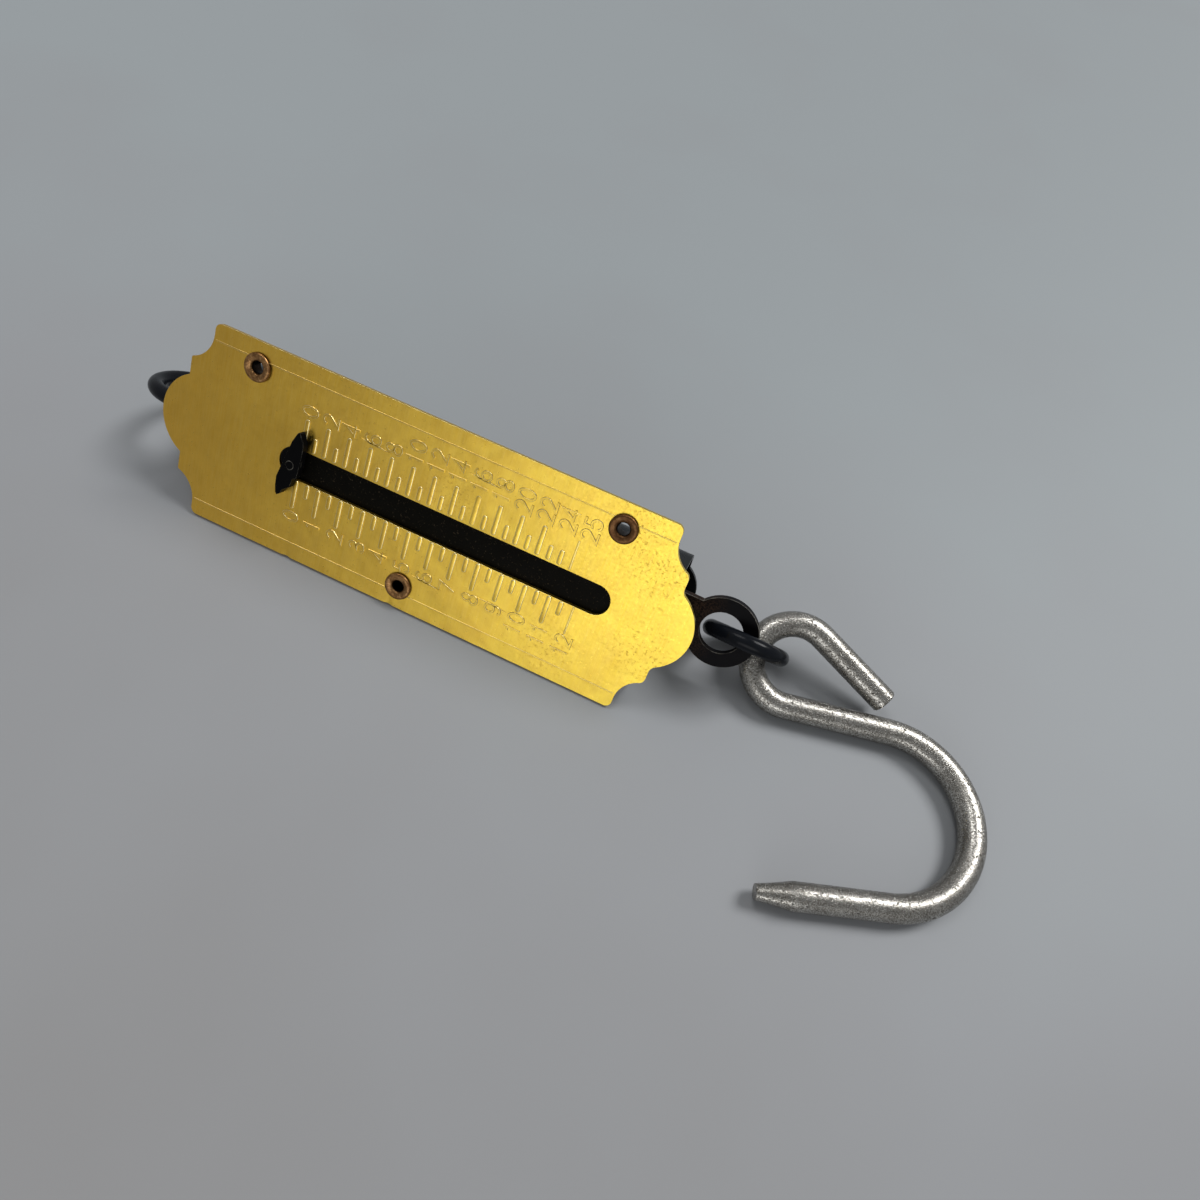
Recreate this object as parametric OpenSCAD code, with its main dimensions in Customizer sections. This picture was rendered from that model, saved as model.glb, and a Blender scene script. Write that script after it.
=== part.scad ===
// Pocket spring balance: brass face plate, pressed steel case, extension spring on the pull line,
// ring at the top, eye, link and S-hook at the bottom. Millimetres.
// The origin is the point on the pull line where the suspension ring bears in its lug.
// +X runs along the pull line to the hook and +Z is up from the surface that the balance lies on.
// The balance lies rolled about its length, on the lower long edge of the plate and the round back.

/* [Face plate] */
// Width of the face plate across its long edges
plate_w = 36; // [34.5:0.25:37]
// Distance from the middle of the plate to a scallop's deepest point
plate_straight = 43.25; // [42:0.25:44]
// Distance from the middle of the plate to the step beside an end lobe
plate_step = 47.05; // [46.8:0.05:48]
// Thickness of the brass sheet
plate_t = 0.8; // [0.6:0.05:1]
// Radius of the plate's outer corners
plate_corner_r = 1.2; // [0.6:0.1:2]
// Radius of the concave scallop at each corner
scallop_r = 5.35; // [4.8:0.05:5.8]
// Distance from a long edge to the centre of its scallops
scallop_inset = 2.2; // [1.8:0.1:2.6]
// Radius of the round lobe at each end
lobe_r = 8.27; // [7.6:0.05:8.8]
// How far a lobe stands out past the step
lobe_reach = 4.5; // [3.8:0.1:5]
// Distance from the suspension point to the middle of the plate
plate_mid_x = 46.1; // [45.6:0.1:46.6]
// Height of the plate's face above the pull line
face_h = 9.5; // [9.4:0.05:10]

/* [Slot and pointer] */
// Width of the slot in the plate
slot_w = 5.65; // [5.4:0.05:6]
// Distance from the suspension point to the zero mark
zero_x = 22.8; // [22.4:0.1:23.2]
// How far the slot runs back behind the zero mark
slot_back = 4.1; // [3.8:0.1:4.6]
// How far the slot runs past the zero mark
slot_ahead = 60; // [59:0.5:61]
// Gap between the pointer, the index strip and the edges and faces that they slide along
slide_gap = 0.3; // [0.25:0.05:0.4]
// Span of the pointer's two wings
pointer_span = 12.8; // [11:0.2:14]
// Depth of the pointer's curved back at the middle
pointer_depth = 2.9; // [2.4:0.1:3.4]
// Thickness of the pointer's head above the plate
pointer_t = 1.4; // [1:0.1:1.6]
// Length of the pointer's stem along the slot
stem_l = 1.9; // [1.6:0.1:2.2]

/* [Index strip] */
// Width of the black strip that slides under the slot
strip_w = 12; // [11.6:0.2:13]
// Thickness of the index strip
strip_t = 1; // [0.8:0.05:1.1]
// How far the strip runs back behind the zero mark
strip_back = 5.6; // [5:0.2:6.4]
// How far the strip runs past the zero mark
strip_ahead = 63.7; // [62.5:0.1:65]

/* [Case] */
// Outer radius of the case's half-round back, which is half its outer width
case_r = 11; // [10.6:0.1:11.2]
// Depth from the plate's face to the centre of the half-round back
case_centre_depth = 7.4; // [7:0.1:8]
// Thickness of the case sheet
case_t = 0.8; // [0.6:0.05:0.9]
// Width of the case across its two flanges
flange_w = 31.6; // [31:0.1:33]
// Start of the flanges, from the suspension point
flange_start = 5; // [4.5:0.25:6]
// End of the flanges, from the suspension point
flange_end = 87.5; // [86:0.25:88.5]
// Start of the case, from the suspension point
case_start = 2.5; // [2.2:0.1:2.7]
// Mouth of the case, from the suspension point
case_end = 92; // [91:0.5:93]
// How far the tongue of the back stands out of the mouth
tongue_reach = 2.9; // [2:0.1:3.5]
// Radius of the tongue's round end
tongue_r = 8; // [7.5:0.1:9]
// Radius of the bend between a flange and its wall
flange_bend_r = 0.8; // [0.4:0.1:1.2]
// Radius of the flanges' corners
flange_corner_r = 2; // [1:0.25:2.5]

/* [Eyelets] */
// Distance of the upper two eyelets from the middle of the plate
eyelet_x = 34.2; // [33.5:0.1:35]
// Distance of the eyelets from the case's wall, which a flange's bend takes up a part of
eyelet_aside = 2.6; // [2.4:0.05:2.7]
// Least width of sheet that a flange keeps round an eyelet
eyelet_rim = 0.5; // [0.4:0.05:0.55]
// Diameter of an eyelet's rolled head
eyelet_head_d = 5.05; // [4.6:0.05:5.4]
// Diameter of an eyelet's barrel
eyelet_barrel_d = 3.2; // [3:0.1:3.4]
// Diameter of an eyelet's hole
eyelet_hole_d = 2.1; // [1.8:0.1:2.3]
// Height of an eyelet's head above the plate
eyelet_head_h = 0.7; // [0.5:0.05:0.9]
// Diameter of the flare that holds an eyelet under the flange
eyelet_flare_d = 4.2; // [3.9:0.05:4.3]

/* [Top fixing] */
// Start of the end plate, from the suspension point
end_plate_x = 3; // [2.8:0.1:3.2]
// Thickness of the end plate
end_plate_t = 1.2; // [1:0.1:1.4]
// Width of a tab that holds the end plate in a wall of the case
tab_w = 4; // [3:0.25:5]
// Thickness of the hanger strip
hanger_t = 1.4; // [1.2:0.1:1.5]
// Width of the hanger's lug and of its shoulders
hanger_w = 8.4; // [8:0.2:9]
// Width of the hanger where it passes through the end plate and into the plug
tail_w = 6; // [5.6:0.2:6.4]
// Diameter of the hole that the ring passes through
ring_hole_d = 4.6; // [4.4:0.1:5]
// Length of the hanger's inner shoulders
shoulder_l = 1.6; // [1.4:0.1:2]

/* [Spring] */
// Wire of the main spring
spring_wire = 1.4; // [1.3:0.05:1.5]
// Mean diameter of the coils
spring_d = 12; // [11.6:0.1:12.2]
// Number of coils
spring_turns = 10; // [8:1:10]
// Gap between neighbouring coils at rest
coil_gap = 0.46; // [0.45:0.01:0.6]
// Radius of the bend from a coil to the straight end of the wire
spring_bend_r = 1.4; // [1.3:0.1:1.8]

/* [Spring plugs] */
// Length of a plug's core inside the coils
core_l = 5.5; // [5:0.25:6]
// Thickness of a plug's flange
plug_flange_t = 1.5; // [1.2:0.1:1.8]
// Gap between the core and the inside of the coils
core_gap = 0.2; // [0.15:0.05:0.3]
// Diameter of the cross pins
pin_d = 2; // [1.8:0.1:2.2]
// Gap round a strip or a pin in its seat
seat_gap = 0.03; // [0.02:0.01:0.05]

/* [Pull bar] */
// Thickness of the pull bar and its eye
bar_t = 1.4; // [1.2:0.1:1.5]
// Width of the pull bar
bar_w = 8.5; // [8:0.25:9]
// Distance from the suspension point to the middle of the eye
eye_x = 101.75; // [101.5:0.25:103]
// Outer diameter of the eye
eye_d = 13.2; // [13:0.1:13.4]
// Diameter of the eye's hole
eye_hole_d = 7.8; // [7.7:0.1:8]
// Gap from the lower plug's flange to the riser
riser_gap = 3.5; // [2.5:0.25:5]
// Length of the riser that carries the index strip
riser_l = 13; // [11:0.5:15]
// Thickness of the riser's sheet
riser_t = 1; // [0.8:0.1:1.2]
// Diameter of the rivets
rivet_d = 1.6; // [1.4:0.1:1.8]
// Diameter of the rivets' heads
rivet_head_d = 2.8; // [2.4:0.1:3]
// Height of the rivets' heads
rivet_head_h = 0.35; // [0.25:0.05:0.4]
// Distance of the upper rivets from the centre line, clear of the slot
rivet_y = 4.2; // [4.1:0.05:4.4]

/* [Ring and link] */
// Wire of the suspension ring
ring_wire = 3; // [2.8:0.1:3.1]
// Mean radius of the suspension ring
ring_r = 7; // [6.8:0.1:7.2]
// Distance of the ring's middle below the pull line
ring_drop = 1.2; // [1:0.1:1.4]
// Wire of the link between the eye and the hook
link_wire = 3; // [2.8:0.1:3.05]
// Mean radius of the link
link_r = 6.7; // [6.65:0.05:6.8]
// Lean of the link from upright on the plate
link_lean = 24; // [22:1:26]
// Distance of the link's middle from the middle of the eye's rim, along the pull line
link_shift = 0.5; // [0.4:0.05:0.6]
// Distance of the link's middle below the eye
link_drop = 3.05; // [2.95:0.05:3.1]

/* [S-hook] */
// Wire of the S-hook
hook_wire = 4.7; // [4.5:0.05:4.75]
// Mean radius of the small loop
loop_r = 7.45; // [7.4:0.05:7.6]
// Turn of the small loop
loop_turn = 213; // [211:0.5:215]
// Distance of the small loop's middle from the link's, along the pull line
loop_ahead = 9.5; // [9.4:0.05:9.6]
// Distance of the small loop's middle from the link's plane
loop_aside = 0.2; // [0.1:0.05:0.3]
// Distance of the small loop's middle from the link's, down the link's plane
loop_below = 2; // [1.9:0.05:2.05]
// Gap between the loop's cut end and the shank
loop_gap = 0.35; // [0.3:0.05:1]
// Length of the straight shank
shank_l = 19; // [17:0.5:21]
// Mean radius of the big bend
bend_r = 15.2; // [14:0.1:16]
// Turn of the big bend
bend_turn = 173; // [165:1:178]
// Length of the straight end past the big bend
tip_l = 22.5; // [18:0.5:25]
// Length of the taper at the point
taper_l = 6; // [4:0.5:8]
// Diameter of the point
tip_d = 2.6; // [2:0.1:3]
// Heading of the shank, turned from the pull line
shank_heading = 12; // [11:0.5:13]

/* [Hidden] */
$fn = 64;
tiny = 0.01;
arc_lap = 1;
arc_step = 0.02;
through = 40;

// The spring's rings of points to a turn, its steps in an end bend and its sides round the wire
rings_per_turn = 8;
bend_steps = 3;
tube_sides = 6;

// Heights in the balance's own frame, where the pull line is zero and the plate's face is up
plate_under = face_h - plate_t;
strip_top = plate_under - slide_gap;
strip_under = strip_top - strip_t;
case_centre_h = face_h - case_centre_depth;
case_inner_r = case_r - case_t;
flange_under = plate_under - case_t;
tab_h = (case_centre_h + flange_under) / 2;
eyelet_y = case_r + eyelet_aside;

// Roll of the lying balance: the line that touches the plate's lower edge and the round back
edge_y = plate_w / 2;
edge_drop = case_centre_depth - plate_t;
roll = atan(edge_drop / edge_y) + asin(case_r / norm([edge_y, edge_drop]));
floor_z = plate_under * cos(roll) - edge_y * sin(roll);

// Places along the pull line
slot_start = zero_x - slot_back + slot_w / 2;
slot_end = zero_x + slot_ahead - slot_w / 2;
hanger_shoulder_x = end_plate_x + end_plate_t;
top_flange_x = hanger_shoulder_x + shoulder_l + 2 * seat_gap;
spring_start = top_flange_x + plug_flange_t + seat_gap;
spring_pitch = spring_wire + coil_gap;
spring_r = spring_d / 2;
coil_slope = atan(spring_pitch / (2 * PI * spring_r));
bend_rise = spring_bend_r * (1 - sin(coil_slope));
bend_run = spring_bend_r * cos(coil_slope);
coil_rise = spring_turns * spring_pitch;
spring_end = spring_start + 2 * (spring_wire + bend_rise) + coil_rise;
bottom_flange_x = spring_end + seat_gap;
plug_flange_r = spring_r + spring_wire / 2;
coil_inner_r = (spring_r - spring_wire / 2) * cos(180 / rings_per_turn);
core_r = coil_inner_r - core_gap;
top_pin_x = spring_start + core_l / 2;
bottom_pin_x = spring_end - core_l / 2;
bar_start = spring_end - core_l;
bar_shoulder_x = bottom_flange_x + plug_flange_t + seat_gap;
riser_x = bottom_flange_x + plug_flange_t + riser_gap;
base_rivet_xs = [riser_x + 0.35 * riser_l, riser_x + 0.8 * riser_l];
strip_rivet_x = riser_x + 0.6 * riser_l;

// Eye, link and hook. The small loop hangs in the link, and is twisted as far as it takes for the
// shank and the big bend to lie on the surface.
eye_rim_x = eye_x + (eye_d + eye_hole_d) / 4;
link_tilt = roll - link_lean;
link_x = eye_rim_x - link_shift;
link_y = link_drop * sin(link_tilt);
link_z = -link_drop * cos(link_tilt);
loop_x = link_x + loop_ahead;
loop_y = link_y + loop_below * sin(link_tilt) - loop_aside * cos(link_tilt);
loop_z = link_z - loop_below * cos(link_tilt) - loop_aside * sin(link_tilt);
hook_z = floor_z + hook_wire / 2;
loop_twist = asin((loop_z - hook_z) / loop_r);
hook_x = loop_x + loop_r * cos(loop_twist) * sin(shank_heading);
hook_y = loop_y - loop_r * cos(loop_twist) * cos(shank_heading);
loop_run =(loop_r * (1 - cos(loop_turn)) - hook_wire - loop_gap) / sin(loop_turn - 180);

// Sets a piece made in the balance's own frame down on the surface
module laid() rotate([roll, 0, 0]) children();

// A rod from one place along X to another
module rod_x(from, to, diameter) translate([from, 0, 0]) rotate([0, 90, 0])
    cylinder(d = diameter, h = to - from);

// A flat piece of a given outline between two heights
module sheet(under, top) translate([0, 0, under]) linear_extrude(top - under) children();

// A rectangle from one place along X to another, centred across
module bar_2d(from, to, width) translate([from, -width / 2]) square([to - from, width]);

module both_ways(x) for (way = [-1, 1]) translate([way * x, 0]) children();

module four_corners(x, y) for (up = [-1, 1]) translate([0, up * y]) both_ways(x) children();

module rounded_rect(length, width, radius) {
    square([length - 2 * radius, width], center = true);
    square([length, width - 2 * radius], center = true);
    four_corners(length / 2 - radius, width / 2 - radius) circle(radius);
}

module eyelet_places() {
    for (x = [-eyelet_x, eyelet_x]) translate([plate_mid_x + x, eyelet_y]) children();
    translate([plate_mid_x, -eyelet_y]) children();
}

module plate_outline() {
    scallop_y = plate_w / 2 - scallop_inset;
    rounded_rect(2 * plate_straight, plate_w, plate_corner_r);
    difference() {
        square([2 * plate_step, 2 * scallop_y], center = true);
        four_corners(plate_straight + scallop_r, scallop_y) circle(scallop_r);
    }
    both_ways(plate_step + lobe_reach - lobe_r) circle(lobe_r);
}

module slot_outline() {
    translate([slot_start, 0]) circle(d = slot_w);
    translate([slot_end, 0]) circle(d = slot_w);
    bar_2d(slot_start, slot_end, slot_w);
}

module face_plate() color("goldenrod") laid() sheet(plate_under, face_h) difference() {
    translate([plate_mid_x, 0]) plate_outline();
    slot_outline();
    eyelet_places() circle(d = eyelet_barrel_d + 2 * seat_gap);
}

// The round-backed U of a given radius, open at the plate, across Y and Z
module case_u(radius) {
    intersection() {
        translate([0, case_centre_h]) circle(radius);
        translate([-through / 2, case_centre_h - through]) square(through);
    }
    translate([-radius, case_centre_h]) square([2 * radius, plate_under - case_centre_h]);
}

// Cross-section of the case, drawn with its width along X and its depth along Y
module case_section() {
    lap = case_t / 2;
    difference() {
        union() {
            case_u(case_r);
            translate([-through / 2, flange_under]) square([through, case_t]);
            difference() {
                translate([-case_r - flange_bend_r, flange_under - flange_bend_r])
                    square([2 * (case_r + flange_bend_r), flange_bend_r + lap]);
                translate([0, flange_under - flange_bend_r]) both_ways(case_r + flange_bend_r)
                    circle(flange_bend_r);
            }
        }
        case_u(case_inner_r);
        translate([-case_inner_r, case_centre_h]) square([2 * case_inner_r, through]);
    }
}

// Outline of the case seen from the front: flanges, which keep sheet round every eyelet, channel
// to the mouth, then the tongue
module case_plan() {
    translate([(flange_start + flange_end) / 2, 0])
        rounded_rect(flange_end - flange_start, flange_w, flange_corner_r);
    eyelet_places() circle(d = eyelet_barrel_d + 2 * (seat_gap + eyelet_rim));
    bar_2d(case_start, case_end, 2 * case_r);
    translate([case_end + tongue_reach - tongue_r, 0]) circle(tongue_r);
}

module back_case() color("#1c1f24") laid() difference() {
    intersection() {
        translate([case_start - 1, 0, 0]) rotate([90, 0, 90])
            linear_extrude(case_end + tongue_reach - case_start + 2) case_section();
        sheet(case_centre_h - case_r - 1, face_h) case_plan();
    }
    sheet(flange_under - 1, face_h) eyelet_places() circle(d = eyelet_barrel_d + 2 * seat_gap);
    translate([end_plate_x - seat_gap, -through / 2, tab_h - tab_w / 2 - seat_gap])
        cube([end_plate_t + 2 * seat_gap, through, tab_w + 2 * seat_gap]);
}

// A rolled tube: flat head on the plate, barrel through both sheets, flare under the flange
module eyelet() {
    hole_r = eyelet_hole_d / 2;
    barrel_r = eyelet_barrel_d / 2;
    roll_r = eyelet_head_h / 2;
    head_r = eyelet_head_d / 2;
    flare_r = eyelet_flare_d / 2;
    flare_h = eyelet_head_h * 0.7;
    rotate_extrude() {
        translate([hole_r, flange_under - flare_h])
            square([barrel_r - hole_r, face_h - flange_under + flare_h + roll_r]);
        translate([head_r - roll_r, face_h + roll_r]) circle(roll_r);
        translate([hole_r + roll_r, face_h]) square([head_r - hole_r - 2 * roll_r, 2 * roll_r]);
        translate([hole_r + roll_r, face_h + roll_r]) circle(roll_r);
        polygon([[barrel_r - tiny, flange_under], [flare_r, flange_under],
            [flare_r, flange_under - flare_h * 0.4], [barrel_r - tiny, flange_under - flare_h]]);
    }
}

module eyelets() color("#7a5a3c") laid() eyelet_places() eyelet();

// Closes the top of the case, notched from above for the hanger and staked by its two tabs
module end_plate() color("#2a2d31") laid() translate([end_plate_x, 0, 0]) rotate([90, 0, 90])
    linear_extrude(end_plate_t) difference() {
        union() {
            case_u(case_inner_r - seat_gap);
            translate([0, tab_h]) square([2 * case_r, tab_w], center = true);
        }
        translate([-tail_w / 2 - seat_gap, -hanger_t / 2 - seat_gap])
            square([tail_w + 2 * seat_gap, through]);
    }

// Flat strip on the pull line: lug with the ring's hole, neck, shoulders and pinned tail
module hanger() color("#33363b") laid() sheet(-hanger_t / 2, hanger_t / 2) difference() {
    union() {
        circle(d = hanger_w);
        bar_2d(0, end_plate_x - seat_gap, hanger_w);
        bar_2d(0, spring_start + core_l, tail_w);
        bar_2d(hanger_shoulder_x + seat_gap, hanger_shoulder_x + shoulder_l, hanger_w);
    }
    circle(d = ring_hole_d);
    translate([top_pin_x, 0]) circle(d = pin_d + 2 * seat_gap);
}

// Flanged plug that fills the end of the coils, with a mortise for a strip and a pin's hole.
// Its flange starts at zero and its core runs on along X.
module plug(strip_t) difference() {
    core_end = plug_flange_t + seat_gap + core_l;
    union() {
        rod_x(0, plug_flange_t, 2 * plug_flange_r);
        rod_x(0, core_end, 2 * core_r);
    }
    translate([-1, -tail_w / 2 - seat_gap, -strip_t / 2 - seat_gap])
        cube([core_end + 2, tail_w + 2 * seat_gap, strip_t + 2 * seat_gap]);
    translate([core_end - core_l / 2, 0, -through / 2])
        cylinder(d = pin_d + 2 * seat_gap, h = through);
}

module top_plug() color("#5d5f63") laid() translate([top_flange_x, 0, 0]) plug(hanger_t);

module bottom_plug() color("#5d5f63") laid()
    translate([bottom_flange_x + plug_flange_t, 0, 0]) rotate([0, 0, 180]) plug(bar_t);

// Cross pin, cut a little inside the core so that the coils pass it
module cross_pin(x) translate([x, 0, core_gap - core_r])
    cylinder(d = pin_d, h = 2 * (core_r - core_gap));

module top_pin() color("#8a8c90") laid() cross_pin(top_pin_x);

module bottom_pin() color("#8a8c90") laid() cross_pin(bottom_pin_x);

// The spring's centre line runs on a cylinder round the pull line. Each place on it is
// [distance along X, angle round X, slope of the wire against the cylinder's rim].
function arc_deg(length) = length / spring_r * 180 / PI;
function bend_place(k) = let (a = (90 - coil_slope) * k / bend_steps)
    [spring_start + spring_wire + spring_bend_r * sin(a), arc_deg(spring_bend_r * (1 - cos(a))),
        90 - a];
bend_end_x = bend_place(bend_steps)[0];
bend_end_deg = bend_place(bend_steps)[1];
function coil_place(k) = [bend_end_x + coil_rise * k / (rings_per_turn * spring_turns),
    bend_end_deg + 360 * k / rings_per_turn, coil_slope];
last_deg = 360 * spring_turns + 2 * bend_end_deg;
function mirrored(place) = [spring_start + spring_end - place[0], last_deg - place[1], place[2]];
spring_head = concat([[spring_start, 0, 90]], [for (k = [0:bend_steps - 1]) bend_place(k)]);
spring_coils = [for (k = [0:rings_per_turn * spring_turns]) coil_place(k)];
spring_tail = [for (k = [len(spring_head) - 1:-1:0]) mirrored(spring_head[k])];
spring_path = concat(spring_head, spring_coils, spring_tail);

function spring_point(place) =
    [place[0], spring_r * cos(place[1]), spring_r * sin(place[1])];
function spring_ring(place) = let (
        radial = [0, cos(place[1]), sin(place[1])],
        rim = [0, -sin(place[1]), cos(place[1])],
        side = [cos(place[2]), 0, 0] - rim * sin(place[2]))
    [for (k = [0:tube_sides - 1]) spring_point(place)
        + spring_wire / 2 * (radial * cos(360 * k / tube_sides) + side * sin(360 * k / tube_sides))];
spring_points = [for (place = spring_path) each spring_ring(place)];
spring_faces = let (rings = len(spring_path), n = tube_sides) concat(
    [for (i = [0:rings - 2]) for (k = [0:n - 1]) [i * n + k, i * n + (k + 1) % n, (i + 1) * n + k]],
    [for (i = [0:rings - 2]) for (k = [0:n - 1])
        [i * n + (k + 1) % n, (i + 1) * n + (k + 1) % n, (i + 1) * n + k]],
    [for (k = [1:n - 2]) [0, k + 1, k]],
    [for (k = [1:n - 2]) let (b = (rings - 1) * n) [b, b + k, b + k + 1]]);
spring_self_gap = min([for (i = [0:len(spring_path) - 1])
    for (j = [i + rings_per_turn / 2:1:len(spring_path) - 1])
        norm(spring_point(spring_path[i]) - spring_point(spring_path[j]))]) - spring_wire;
echo(spring_self_gap = spring_self_gap);

module main_spring() color("#6f7276") laid() polyhedron(spring_points, spring_faces);

// Flat bar on the pull line: pinned tail, straight bar, eye
module pull_bar() color("#1d1f22") laid() sheet(-bar_t / 2, bar_t / 2) difference() {
    union() {
        bar_2d(bar_start, eye_x, tail_w);
        bar_2d(bar_shoulder_x, eye_x, bar_w);
        translate([eye_x, 0]) circle(d = eye_d);
    }
    translate([eye_x, 0]) circle(d = eye_hole_d);
    translate([bottom_pin_x, 0]) circle(d = pin_d + 2 * seat_gap);
    for (x = base_rivet_xs) translate([x, 0]) circle(d = rivet_d + 2 * seat_gap);
}

// C-shaped saddle between the pull bar and the index strip, bent from one sheet
module riser() color("#2a2d31") laid() difference() {
    height = strip_under - bar_t / 2;
    bend = 2 * riser_t;
    translate([riser_x, strip_w / 2, bar_t / 2]) rotate([90, 0, 0]) linear_extrude(strip_w)
        difference() {
            union() {
                translate([bend, 0]) square([riser_l - bend, height]);
                translate([0, bend]) square([riser_l, height - 2 * bend]);
                translate([bend, bend]) circle(bend);
                translate([bend, height - bend]) circle(bend);
            }
            translate([bend, riser_t]) square([riser_l, height - 2 * riser_t]);
            translate([riser_t, bend]) square([riser_l, height - 2 * bend]);
            translate([bend, bend]) circle(bend - riser_t);
            translate([bend, height - bend]) circle(bend - riser_t);
        }
    for (x = base_rivet_xs) translate([x, 0, 0])
        cylinder(d = rivet_d + 2 * seat_gap, h = bar_t / 2 + 2 * riser_t);
    for (y = [-rivet_y, rivet_y]) translate([strip_rivet_x, y, strip_under - 2 * riser_t])
        cylinder(d = rivet_d + 2 * seat_gap, h = 3 * riser_t);
}

module riser_rivets() color("#5d5f63") laid() for (x = base_rivet_xs) translate([x, 0, 0]) {
    translate([0, 0, -bar_t / 2]) cylinder(d = rivet_d, h = bar_t + riser_t);
    translate([0, 0, bar_t / 2 + riser_t]) cylinder(d = rivet_head_d, h = rivet_head_h);
    translate([0, 0, -bar_t / 2 - rivet_head_h]) cylinder(d = rivet_head_d, h = rivet_head_h);
}

// Flush on top of the strip, headed under the riser
module strip_rivets() color("#5d5f63") laid()
    for (y = [-rivet_y, rivet_y]) translate([strip_rivet_x, y, strip_under - riser_t]) {
        cylinder(d = rivet_d, h = riser_t + strip_t);
        translate([0, 0, -rivet_head_h]) cylinder(d = rivet_head_d, h = rivet_head_h);
    }

module index_strip() color("#26241f") laid() sheet(strip_under, strip_top) difference() {
    bar_2d(zero_x - strip_back, zero_x + strip_ahead, strip_w);
    translate([zero_x - stem_l / 2, 0]) circle(d = rivet_d + 2 * seat_gap);
    for (y = [-rivet_y, rivet_y]) translate([strip_rivet_x, y])
        circle(d = rivet_d + 2 * seat_gap);
}

// Winged head over the plate and a stem down through the slot on to the strip
module pointer() color("#17181a") laid() difference() {
    back_r = (pow(pointer_span / 2, 2) + pow(pointer_depth, 2)) / (2 * pointer_depth);
    head_under = face_h + slide_gap;
    union() {
        sheet(head_under, head_under + pointer_t) intersection() {
            translate([zero_x - pointer_depth + back_r, 0]) circle(back_r);
            bar_2d(zero_x - 2 * pointer_depth, zero_x, pointer_span + 1);
        }
        sheet(strip_top, head_under + pointer_t)
            bar_2d(zero_x - stem_l, zero_x, slot_w - 2 * slide_gap);
    }
    translate([zero_x - stem_l / 2, 0, 0]) cylinder(d = rivet_d + 2 * seat_gap, h = through);
}

module pointer_rivet() color("#3a3b3e") laid() translate([zero_x - stem_l / 2, 0, strip_under]) {
    cylinder(d = rivet_d, h = strip_t + 2 * slide_gap + plate_t + pointer_t);
    translate([0, 0, -rivet_head_h]) cylinder(d = rivet_head_d, h = rivet_head_h);
}

module suspension_ring() color("#1f2a38") laid() translate([-ring_r, 0, -ring_drop])
    rotate([90, 0, 0]) rotate_extrude() translate([ring_r, 0]) circle(d = ring_wire);

// Closed ring of wire through the eye, leaning from upright
module link() color("#15171b") translate([link_x, link_y, link_z])
    rotate([roll - link_lean, 0, 0]) rotate([90, 0, 0])
        rotate_extrude() translate([link_r, 0]) circle(d = link_wire);

// A bend of wire, a hair thinner than the straights and run a little way into them, so that
// the two surfaces cross cleanly
module wire_arc(radius, angle, diameter) rotate([0, 0, -arc_lap])
    rotate_extrude(angle = angle + 2 * arc_lap) translate([radius, 0])
        circle(d = diameter - arc_step);

// Lies on the surface by its bend. The small loop is twisted up about the shank, over the link.
module s_hook() color("#9a9b9d")
    translate([hook_x, hook_y, hook_z]) rotate([0, 0, shank_heading]) {
        rod_x(0, shank_l, hook_wire);
        rotate([loop_twist, 0, 0]) translate([0, loop_r, 0]) rotate([0, 0, -90 - loop_turn]) {
            wire_arc(loop_r, loop_turn, hook_wire);
            translate([loop_r, 0, 0]) rotate([90, 0, 0]) cylinder(d = hook_wire, h = loop_run);
        }
        translate([shank_l, -bend_r, 0]) rotate([0, 0, 90 - bend_turn]) {
            wire_arc(bend_r, bend_turn, hook_wire);
            translate([bend_r, 0, 0]) rotate([90, 0, 0]) {
                cylinder(d = hook_wire, h = tip_l - taper_l);
                translate([0, 0, tip_l - taper_l])
                    cylinder(d1 = hook_wire, d2 = tip_d, h = taper_l);
            }
        }
    }

face_plate();
back_case();
eyelets();
end_plate();
hanger();
suspension_ring();
top_plug();
top_pin();
main_spring();
bottom_plug();
bottom_pin();
pull_bar();
riser();
riser_rivets();
strip_rivets();
index_strip();
pointer();
pointer_rivet();
link();
s_hook();
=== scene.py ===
import math

import bpy
from mathutils import Matrix, Vector


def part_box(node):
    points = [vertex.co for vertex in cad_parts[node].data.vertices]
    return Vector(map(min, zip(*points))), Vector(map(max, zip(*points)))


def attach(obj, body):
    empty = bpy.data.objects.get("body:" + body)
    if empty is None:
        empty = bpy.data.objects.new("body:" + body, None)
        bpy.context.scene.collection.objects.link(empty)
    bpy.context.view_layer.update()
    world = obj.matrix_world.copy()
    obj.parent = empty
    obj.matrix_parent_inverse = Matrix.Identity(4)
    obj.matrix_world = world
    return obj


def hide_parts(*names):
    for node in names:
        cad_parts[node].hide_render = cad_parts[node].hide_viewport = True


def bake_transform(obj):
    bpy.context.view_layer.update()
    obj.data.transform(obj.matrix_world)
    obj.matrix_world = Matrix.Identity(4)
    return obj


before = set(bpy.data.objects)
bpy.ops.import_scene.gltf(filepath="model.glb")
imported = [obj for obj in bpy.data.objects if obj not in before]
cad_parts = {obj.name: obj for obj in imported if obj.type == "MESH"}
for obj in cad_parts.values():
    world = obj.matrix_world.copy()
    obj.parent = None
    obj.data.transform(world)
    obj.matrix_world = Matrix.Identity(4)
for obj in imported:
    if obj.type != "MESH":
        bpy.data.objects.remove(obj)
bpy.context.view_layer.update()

# Pieces are modelled in millimetres, most of them in the balance's own frame, where the pull line
# is zero and the plate's face is up, and are then set down on the surface in metres.
MM = 0.001
HALF_WIDTH = 18
SHEET = 0.8
FACE = 9.5
BACK_RADIUS = 11
BACK_DEPTH = 7.4
ZERO_X = 22.8
PLATE_MIDDLE = 46.1

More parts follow.
